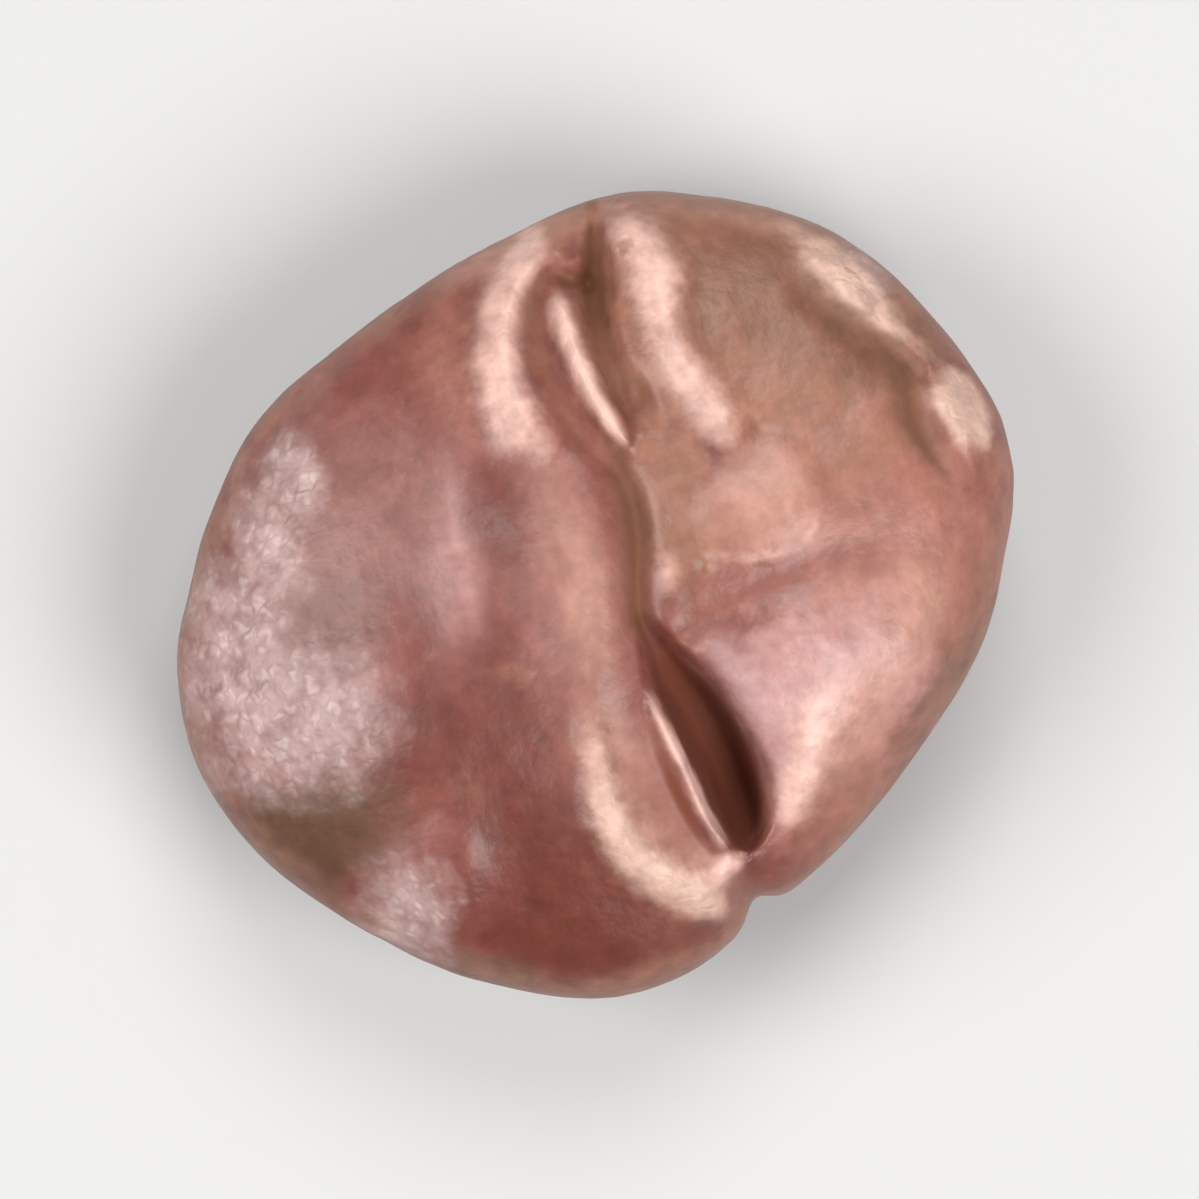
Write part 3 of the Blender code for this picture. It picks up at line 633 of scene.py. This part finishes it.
def dome(share, squareness):
    """Height of a dome of unit height, by the share of the way from its middle to its rim."""
    return (1 - np.clip(share, 0, 1) ** squareness) ** (1 / squareness)


def fade(share):
    """1 on the face, 0 at the rim, with a smooth passage."""
    t = np.clip((FADE_END - share) / (FADE_END - FADE_START), 0, 1)
    return t * t * (3 - 2 * t)


def disc_point(u, v, radius):
    """The place inside the outline of a point of the square from -1 to 1: x, y and the share to the rim."""
    across = u * np.sqrt(1 - v ** 2 / 2)
    along = v * np.sqrt(1 - u ** 2 / 2)
    share = np.hypot(across, along)
    angle = np.arctan2(along, across)
    reach = share * radius(angle, share)
    return reach * np.cos(angle), reach * np.sin(angle), share


def follow_seam(u, v, radius):
    """Slide the square's columns sideways so that the middle one lies on the seam."""
    seam = np.array(SEAM_LINE)
    slide = np.zeros_like(v)
    for _ in range(SEAM_PASSES):
        x, y, _share = disc_point(slide, v, radius)
        slide += (np.interp(y, seam[:, 1], seam[:, 0]) - x) / HALF_WIDTH
    return u + slide * (1 - u ** 2)


def seed_points(u, v, is_upper, shape):
    """Place every point of the two square sheets on the seed's surface, in metres."""
    radius = polar_radius()
    x, y, share = disc_point(follow_seam(u, v, radius), v, radius)
    upper_relief = swelling_height(SWELLINGS, x, y)
    for fold in FOLDS:
        upper_relief += fold_height(fold, x, y)
    upper_relief *= MM * fade(share)
    lower_relief = swelling_height(BELLY_SWELLINGS, x, y) * MM * fade(share)
    upper = shape.rim_height + shape.crown_height * dome(share, CROWN_SQUARENESS) + upper_relief
    lower = shape.rim_height - shape.belly_depth * dome(share, BELLY_SQUARENESS) - lower_relief
    z = np.where(is_upper, upper, np.maximum(lower, 0))
    x = (x - x.min()) * shape.width / np.ptp(x) - shape.width / 2
    y = (y - y.min()) * shape.length / np.ptp(y) - shape.length / 2
    return np.stack([x, y, z], axis=-1)


def closed_sheets(name, columns, rows):
    """Two square grids joined along their rims: a closed mesh whose points have still to be placed."""
    mesh = bpy.data.meshes.new(name)
    sheets = bmesh.new()
    bmesh.ops.create_grid(sheets, x_segments=columns, y_segments=rows, size=1)
    for vertex in sheets.verts:
        vertex.co.z = (1 - vertex.co.x ** 2) * (1 - vertex.co.y ** 2)
    copy = bmesh.ops.duplicate(sheets, geom=sheets.verts[:] + sheets.edges[:] + sheets.faces[:])
    lower_faces = [item for item in copy["geom"] if isinstance(item, bmesh.types.BMFace)]
    lower_points = [item for item in copy["geom"] if isinstance(item, bmesh.types.BMVert)]
    bmesh.ops.reverse_faces(sheets, faces=lower_faces)
    for vertex in lower_points:
        vertex.co.z = -vertex.co.z
    bmesh.ops.remove_doubles(sheets, verts=sheets.verts, dist=1e-6)
    sheets.to_mesh(mesh)
    sheets.free()
    return mesh


def places_of(mesh):
    """The mesh's points as rows of x, y and z."""
    places = np.empty(len(mesh.vertices) * 3)
    mesh.vertices.foreach_get("co", places)
    return places.reshape(-1, 3)


def thin_out(piece, points, triangles):
    """Thin out the faces round the given points until the piece has the given number of triangles."""
    group = piece.vertex_groups.new(name="thinned")
    group.add(points, 1, "REPLACE")
    count = sum(len(face.vertices) - 2 for face in piece.data.polygons)
    thinning = piece.modifiers.new("thin_out", "DECIMATE")
    thinning.ratio = min(1, triangles / count)
    thinning.vertex_group = group.name
    evaluated = piece.evaluated_get(bpy.context.evaluated_depsgraph_get())
    thinned = bpy.data.meshes.new_from_object(evaluated)
    piece.modifiers.remove(thinning)
    piece.data = thinned
    piece.vertex_groups.clear()


def wrinkle(mesh, low, high):
    """Raise the fine relief of the coat out of the surface, inside the seed's box."""
    places = places_of(mesh)
    normals = np.empty(len(mesh.vertices) * 3)
    mesh.vertices.foreach_get("normal", normals)
    normals = normals.reshape(-1, 3)
    heights = np.zeros(len(places))
    for across, along, height in WRINKLES:
        scale = np.array((across, along, across)) / MM
        heights += [height * noise.noise(Vector(place)) for place in places * scale]
    free = np.clip(places[:, 2] / (WRINKLE_RISE * MM), 0, 1)
    places += normals * (heights * free * MM)[:, None]
    places = np.clip(places, low, high)
    mesh.vertices.foreach_set("co", places.ravel())
    mesh.update()


def mark(mesh, name, values):
    """Keep one number for each point of the mesh, for the coat's material to read."""
    attribute = mesh.attributes.new(name, "FLOAT", "POINT")
    attribute.data.foreach_set("value", values)


def mark_coat(mesh, rim_height):
    """Mark the crests with their painted highlight, the dry skin, the hollows with the crease's painted
    shade, the film with its painted sheen, the strokes, the seamed face and the rim.
    """
    places = places_of(mesh) / MM
    x = places[:, 0]
    y = places[:, 1]
    on_top = np.clip((places[:, 2] - rim_height / MM) / TOP_RISE, 0, 1)
    mark(mesh, "worn_and_highlight", fold_share(WORN_AND_HIGHLIGHT_FOLDS, x, y) * on_top)
    mark(mesh, "cream_and_highlight", fold_share(CREAM_AND_HIGHLIGHT_FOLDS, x, y) * on_top)
    mark(mesh, "hollow_and_shade", fold_share(RED_AND_SHADE_FOLDS, x, y) * on_top)
    mark(mesh, "groove", fold_share(BROWN_FOLDS, x, y) * on_top)
    mark(mesh, "film_and_sheen", film_and_sheen_depth(x, y))
    mark(mesh, "on_top", on_top)
    mark(mesh, "rim", np.clip(np.hypot(x, y) / polar_radius()(np.arctan2(y, x), 1), 0, 1))
    for colour in STROKE_COLOURS:
        mark(mesh, colour, stroke_share(colour, x, y) * on_top)


class Nodes:
    """Adds shader nodes to one material and links them."""

    def __init__(self, material):
        material.use_nodes = True
        self.tree = material.node_tree
        self.tree.nodes.clear()

    def add(self, kind, inputs=(), **settings):
        node = self.tree.nodes.new(kind)
        for key, value in settings.items():
            setattr(node, key, value)
        for key, value in dict(inputs).items():
            self.put(node, key, value)
        return node

    def put(self, node, key, value):
        if isinstance(value, bpy.types.NodeSocket):
            self.tree.links.new(value, node.inputs[key])
        else:
            node.inputs[key].default_value = value

    def math(self, operation, first, second=0.0, clamp=False):
        node = self.add("ShaderNodeMath", {0: first, 1: second}, operation=operation, use_clamp=clamp)
        return node.outputs[0]

    def weighted(self, total, parts):
        """The total plus each part times its weight."""
        for part, weight in parts:
            total = self.math("ADD", total, self.math("MULTIPLY", part, weight))
        return total

    def noise(self, place, kind):
        scale, detail, roughness, distortion = kind
        node = self.add("ShaderNodeTexNoise", {
            "Vector": place, "Scale": scale, "Detail": detail, "Roughness": roughness,
            "Distortion": distortion})
        return node.outputs["Fac"]

    def cells(self, place, scale):
        return self.add("ShaderNodeTexVoronoi", {"Vector": place, "Scale": scale, "Randomness": 1.0})

    def vector(self, operation, first, second):
        return self.add("ShaderNodeVectorMath", {0: first, 1: second}, operation=operation).outputs[0]

    def warp(self, place, scale, reach):
        """The place, moved about a little, so that what is drawn on it loses its even outlines."""
        wave = self.add("ShaderNodeTexNoise", {"Vector": place, "Scale": scale, "Detail": 0.0})
        offset = self.vector("SUBTRACT", wave.outputs["Color"], (0.5, 0.5, 0.5))
        return self.vector("ADD", self.vector("MULTIPLY", offset, (reach, reach, reach)), place)

    def ramp(self, value, start, end, low=0.0, high=1.0):
        node = self.add("ShaderNodeMapRange", {
            "Value": value, "From Min": start, "From Max": end, "To Min": low, "To Max": high},
            interpolation_type="SMOOTHSTEP")
        return node.outputs["Result"]

    def mix(self, share, first, second, blend="MIX"):
        node = self.add("ShaderNodeMix", data_type="RGBA", blend_type=blend)
        self.put(node, 0, share)
        self.put(node, 6, first)
        self.put(node, 7, second)
        return node.outputs[2]

    def mark(self, name):
        return self.add("ShaderNodeAttribute", attribute_name=name).outputs["Fac"]


def rgba(colour):
    return (*colour, 1.0)


class CoatNodes(Nodes):
    """The dry coat: mottled reddish brown, pale on the crests with painted highlight, dark red in the crease
    with painted shade, satin with a film that also paints sheen and glints.
    """

    def __init__(self, material, finish):
        super().__init__(material)
        self.finish = finish
        object_place = self.add("ShaderNodeTexCoord").outputs["Object"]
        self.place = self.vector("MULTIPLY", object_place, (1 / MM, 1 / MM, 1 / MM))
        self.wide = self.noise(self.place, WIDE_NOISE)
        self.middle = self.noise(self.place, MIDDLE_NOISE)
        self.ragged = self.noise(self.place, RAGGED_NOISE)
        self.blotch = self.noise(self.place, BLOTCH_NOISE)
        self.speckle = self.noise(self.place, SPECKLE_NOISE)
        self.fibres = self.noise(self.vector("MULTIPLY", self.place, FIBRE_STRETCH), FIBRE_NOISE)
        self.fray = self.ramp(self.blotch, 0.3, 0.7, -0.08, 0.08)
        self.grains = self.cells(self.warp(self.place, GRAIN_WARP_SCALE, GRAIN_WARP_REACH), GRAIN_SCALE)
        self.on_top = self.mark("on_top")
        self.film_and_sheen = self.film_and_sheen_share()
        self.glinting_granule = self.glinting_granule_share()
        self.worn_and_highlight = self.frayed_mark("worn_and_highlight", (0.30, 0.60, 0.84, 1.06), 0.04, 1.04)
        self.cream_and_highlight = self.frayed_mark("cream_and_highlight", (0.28, 0.60, 0.78, 1.05), 0.10, 0.90)

    def colour_of(self, name):
        return rgba(getattr(self.finish, name))

    def layer(self, share, cover, colour, name):
        """The named colour laid over the colour so far."""
        return self.mix(self.math("MULTIPLY", share, cover), colour, self.colour_of(name))

    def patch(self, middle, radii, edge):
        """1 inside an oval patch of the coat, 0 outside, with a ragged edge."""
        offset = self.vector("SUBTRACT", self.place, (*middle, PATCH_HEIGHT))
        scaled = self.vector("DIVIDE", offset, (*radii, PATCH_REACH))
        reach = self.add("ShaderNodeVectorMath", {0: scaled}, operation="LENGTH").outputs["Value"]
        tear = self.math("MULTIPLY", self.math("SUBTRACT", self.ragged, 0.5), TEAR_REACH)
        return self.ramp(self.math("ADD", reach, tear), 1 + edge, 1 - edge)

    def film_and_sheen_share(self):
        """How thick the greyish film and its painted sheen lie: its mark with a torn edge, on the seamed face
        alone.
        """
        tear = self.math("MULTIPLY", self.math("SUBTRACT", 0.5, self.ragged), TEAR_REACH)
        film_and_sheen = self.ramp(self.math("ADD", self.mark("film_and_sheen"), tear), 0.30, 1.50)
        return self.math("MULTIPLY", film_and_sheen, self.on_top)

    def glinting_granule_share(self):
        """Pale middles of the film's grains, painted glints, some of them brighter than others."""
        uneven = self.ramp(self.speckle, 0.3, 0.7, -0.10, 0.10)
        middle = self.ramp(self.math("ADD", self.grains.outputs["Distance"], uneven), 0.66, 0.12)
        lot = self.add("ShaderNodeSeparateColor", {0: self.grains.outputs["Color"]}).outputs[0]
        glinting_granule = self.math("MULTIPLY", middle, self.ramp(lot, 0.0, 0.80, 0.15, 1.0))
        return self.math("MULTIPLY", glinting_granule, self.film_and_sheen)

    def frayed_mark(self, name, wear, start, end):
        """A mark of the mesh, worn unevenly and with a frayed edge."""
        share = self.math("MULTIPLY", self.mark(name), self.ramp(self.ragged, *wear))
        return self.ramp(self.math("ADD", share, self.fray), start, end)

    def mottle(self):
        """The coat's own colour, with its darker and browner parts."""
        share = self.ramp(self.wide, 0.38, 0.66, 0, DEEP_COVER)
        colour = self.mix(share, self.colour_of("coat"), self.colour_of("deep"))
        return self.mix(self.ramp(self.middle, 0.50, 0.78, 0, TAN_COVER), colour, self.colour_of("tan"))

    def add_patches(self, colour):
        for name, middle, radii, strength, edge in PATCHES:
            share = self.math("MULTIPLY", self.patch(middle, radii, edge), strength)
            colour = self.layer(share, self.on_top, colour, name)
        return colour

    def add_strokes(self, colour):
        tear = self.ramp(self.ragged, 0.30, 0.62, 0.65, 1.10)
        for name in STROKE_COLOURS:
            share = self.math("MULTIPLY", self.mark(name), tear, clamp=True)
            colour = self.mix(share, colour, self.colour_of(name))
        return colour

    def add_rim(self, colour):
        """A browner rim, in places."""
        rim = self.math("MULTIPLY", self.ramp(self.mark("rim"), 0.91, 0.97), self.on_top)
        return self.layer(rim, self.ramp(self.middle, 0.35, 0.6, 0.1, RIM_COVER), colour, "tan")

    def add_film_and_sheen(self, colour):
        # Greyish film, partly a painted sheen, and its grains' painted glints
        uneven = self.math("MULTIPLY", self.film_and_sheen, self.ramp(self.blotch, 0.30, 0.62, 0.60, 1.0))
        colour = self.layer(uneven, FILM_AND_SHEEN_COVER, colour, "film_and_sheen")
        return self.layer(self.glinting_granule, FROST_AND_GLINT_COVER, colour, "frost_and_glints")

    def add_crests(self, colour):
        # Pale crests and dry cream skin, both partly painted highlight
        colour = self.layer(self.worn_and_highlight, WORN_AND_HIGHLIGHT_COVER, colour, "worn_and_highlight")
        return self.layer(self.cream_and_highlight, CREAM_AND_HIGHLIGHT_COVER, colour, "cream_and_highlight")

    def add_shade(self, colour):
        """Finely lighter and darker all over, along the fibres and in blotches."""
        shade = self.ramp(self.fibres, 0.3, 0.72, 0.93, 1.06)
        shade = self.math("MULTIPLY", shade, self.ramp(self.blotch, 0.3, 0.7, 0.92, 1.08))
        shade = self.math("MULTIPLY", shade, self.ramp(self.speckle, 0.3, 0.7, 0.93, 1.07))
        grey = self.add("ShaderNodeCombineColor", {0: shade, 1: shade, 2: shade}).outputs[0]
        return self.mix(1.0, colour, grey, "MULTIPLY")

    def add_hollows(self, colour):
        """Brown floors of the grooves, and the dark red floor and walls of the crease, darkened past their
        own colour as painted shade.
        """
        groove = self.ramp(self.math("ADD", self.mark("groove"), self.fray), 0.08, 0.95)
        colour = self.layer(groove, GROOVE_COVER, colour, "groove")
        # Dark red crease colour with painted shade over its walls and floor
        bare = self.math("SUBTRACT", self.mark("hollow_and_shade"), self.math("MULTIPLY", self.worn_and_highlight, WORN_GUARD))
        return self.layer(self.ramp(bare, 0.05, 0.50), HOLLOW_AND_SHADE_COVER, colour, "hollow_and_shade")

    def add_specks(self, colour):
        """A few small dark specks."""
        specks = self.cells(self.place, SPECK_SCALE)
        uneven = self.ramp(self.blotch, 0.3, 0.7, -0.05, 0.05)
        speck = self.math("ADD", specks.outputs["Distance"], uneven)
        return self.mix(self.ramp(speck, 0.13, 0.03, 0, SPECK_COVER), colour, self.colour_of("deep"))

    def roughness(self):
        """Duller on film and dry skin, and dullest in the hollows."""
        total = self.weighted(self.finish.roughness + BLOTCH_GLOSS, (
            (self.blotch, BLOTCH_ROUGHNESS), (self.film_and_sheen, FILM_ROUGHNESS), (self.cream_and_highlight, CREAM_ROUGHNESS)))
        hollow_and_shade = self.math("MAXIMUM", self.mark("hollow_and_shade"), self.mark("groove"))
        return self.math("ADD", total, self.ramp(hollow_and_shade, 0.02, 0.30, 0, HOLLOW_ROUGHNESS), clamp=True)

    def bump(self):
        """Fine bumps: grains that stand out most on dry skin and film, blotches and fibres."""
        standing = self.weighted(COAT_GRAIN, (
            (self.cream_and_highlight, CREAM_GRAIN), (self.worn_and_highlight, WORN_GRAIN), (self.film_and_sheen, FILM_GRAIN)))
        sunken = self.math("MULTIPLY", self.grains.outputs["Distance"], self.math("MULTIPLY", standing, -1.0))
        relief = self.weighted(sunken, (
            (self.glinting_granule, FROST_BUMP), (self.blotch, BLOTCH_BUMP), (self.speckle, SPECKLE_BUMP),
            (self.fibres, FIBRE_BUMP)))
        node = self.add("ShaderNodeBump", {"Height": relief, "Distance": BUMP_HEIGHT * MM, "Strength": 1.0})
        return node.outputs[0]


def coat_material(finish):
    """The seed coat: its colour laid down layer by layer, its gloss and its fine bumps."""
    material = bpy.data.materials.new("seed_coat")
    nodes = CoatNodes(material, finish)
    colour = nodes.mottle()
    for add_layer in (nodes.add_patches, nodes.add_strokes, nodes.add_rim, nodes.add_film_and_sheen,
                      nodes.add_crests, nodes.add_shade, nodes.add_hollows, nodes.add_specks):
        colour = add_layer(colour)
    surface = nodes.add("ShaderNodeBsdfPrincipled", {
        "Base Color": colour, "Roughness": nodes.roughness(), "Normal": nodes.bump(), "IOR": 1.5,
        "Specular IOR Level": 0.5})
    output = nodes.add("ShaderNodeOutputMaterial", {"Surface": surface.outputs[0]})
    output.is_active_output = True
    return material


def floor_material(colour):
    """A plain pale matt floor."""
    material = bpy.data.materials.new("floor")
    nodes = Nodes(material)
    surface = nodes.add("ShaderNodeBsdfPrincipled", {"Base Color": rgba(colour), "Roughness": 0.9})
    nodes.add("ShaderNodeOutputMaterial", {"Surface": surface.outputs[0]})
    return material


class JUJUBE_OT_make_seed(Operator):
    """Build the seed's fine surface and give it its coat"""

    bl_idname = "jujube.make_seed"
    bl_label = "Make Seed"

    def execute(self, context):
        shape = context.scene.jujube_shape
        mesh = closed_sheets("seed_body", shape.columns, shape.rows)
        places = places_of(mesh)
        u = np.sign(places[:, 0]) * np.sin(math.pi / 2 * np.abs(places[:, 0])) ** SEAM_CROWDING
        v = np.sin(math.pi / 2 * places[:, 1])
        points = seed_points(u, v, places[:, 2] >= 0, shape)
        mesh.vertices.foreach_set("co", points.ravel())
        seed = bpy.data.objects.new("seed_body", mesh)
        context.scene.collection.objects.link(seed)
        underside = np.flatnonzero(places[:, 2] < 0)
        thin_out(seed, underside.tolist(), shape.triangles)
        low = np.array(SEED_LOW)
        high = np.array(SEED_HIGH)
        high[2] = np.inf
        wrinkle(seed.data, low, high)
        mark_coat(seed.data, shape.rim_height)
        seed.data.shade_smooth()
        seed.data.materials.append(coat_material(context.scene.jujube_finish))
        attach(seed, "root")
        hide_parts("seed")
        return {"FINISHED"}


def make_floor(scene, colour):
    mesh = bpy.data.meshes.new("floor")
    plane = bmesh.new()
    bmesh.ops.create_grid(plane, x_segments=1, y_segments=1, size=FLOOR_REACH)
    plane.to_mesh(mesh)
    plane.free()
    mesh.materials.append(floor_material(colour))
    floor = bpy.data.objects.new("floor", mesh)
    scene.collection.objects.link(floor)


def area_light(scene, name, azimuth, elevation, distance, size, power):
    """A soft round light that looks at the seed; azimuth 0 is at -Y and 90 at +X, in degrees."""
    lamp = bpy.data.lights.new(name, "AREA")
    lamp.shape = "DISK"
    lamp.size = size
    lamp.energy = power
    light = bpy.data.objects.new(name, lamp)
    scene.collection.objects.link(light)
    around = math.radians(azimuth)
    above = math.radians(elevation)
    level = math.cos(above)
    away = Vector((math.sin(around) * level, -math.cos(around) * level, math.sin(above)))
    light.location = away * distance
    light.rotation_euler = away.to_track_quat("Z", "Y").to_euler()


def make_light(scene, strength):
    """Soft light from three sides and a pale surround."""
    world = bpy.data.worlds.new("studio")
    world.use_nodes = True
    background = world.node_tree.nodes["Background"]
    background.inputs["Color"].default_value = rgba(WORLD_COLOUR)
    background.inputs["Strength"].default_value = WORLD_STRENGTH * strength
    scene.world = world
    for name, azimuth, elevation, distance, size, power in LIGHTS:
        area_light(scene, name, azimuth, elevation, distance, size, power * strength)
    scene.view_settings.view_transform = "Standard"


def make_camera(scene, stage):
    """A camera above the seed, as far off as makes the seed fill its share of the picture."""
    camera = bpy.data.objects.new("camera", bpy.data.cameras.new("camera"))
    camera.data.lens = stage.lens
    camera.data.clip_start = 0.001
    camera.data.clip_end = 2
    scene.collection.objects.link(camera)
    width = SEED_HIGH[0] - SEED_LOW[0]
    distance = width / stage.fill * stage.lens / camera.data.sensor_width
    target = Vector((0, 0, (SEED_LOW[2] + SEED_HIGH[2]) / 2))
    level = math.cos(stage.elevation)
    away = Vector((-math.sin(stage.turn) * level, -math.cos(stage.turn) * level, math.sin(stage.elevation)))
    camera.location = target + away * distance
    camera.rotation_euler = away.to_track_quat("Z", "Y").to_euler()
    scene.camera = camera


class JUJUBE_OT_set_stage(Operator):
    """Add the floor, the lights and the camera"""

    bl_idname = "jujube.set_stage"
    bl_label = "Set Stage"

    def execute(self, context):
        scene = context.scene
        stage = scene.jujube_stage
        make_floor(scene, stage.floor)
        make_light(scene, stage.light)
        make_camera(scene, stage)
        return {"FINISHED"}


class JUJUBE_PT_seed(Panel):
    """Lists what builds the seed"""

    bl_idname = "JUJUBE_PT_seed"
    bl_label = "Jujube Seed"
    bl_space_type = "VIEW_3D"
    bl_region_type = "UI"
    bl_category = "Seed"

    def draw(self, context):
        layout = self.layout
        scene = context.scene
        layout.operator(JUJUBE_OT_make_seed.bl_idname)
        layout.operator(JUJUBE_OT_set_stage.bl_idname)
        for group in (scene.jujube_shape, scene.jujube_finish, scene.jujube_stage):
            column = layout.column()
            for name in group.bl_rna.properties.keys():
                if name not in {"rna_type", "name"}:
                    column.prop(group, name)


CLASSES = (SeedShape, SeedFinish, SeedStage, JUJUBE_OT_make_seed, JUJUBE_OT_set_stage, JUJUBE_PT_seed)


def register():
    for cls in CLASSES:
        bpy.utils.register_class(cls)
    bpy.types.Scene.jujube_shape = PointerProperty(type=SeedShape)
    bpy.types.Scene.jujube_finish = PointerProperty(type=SeedFinish)
    bpy.types.Scene.jujube_stage = PointerProperty(type=SeedStage)


def unregister():
    del bpy.types.Scene.jujube_stage
    del bpy.types.Scene.jujube_finish
    del bpy.types.Scene.jujube_shape
    for cls in reversed(CLASSES):
        bpy.utils.unregister_class(cls)


def main():
    register()
    bpy.ops.jujube.make_seed()
    bpy.ops.jujube.set_stage()


if __name__ == "__main__":
    main()
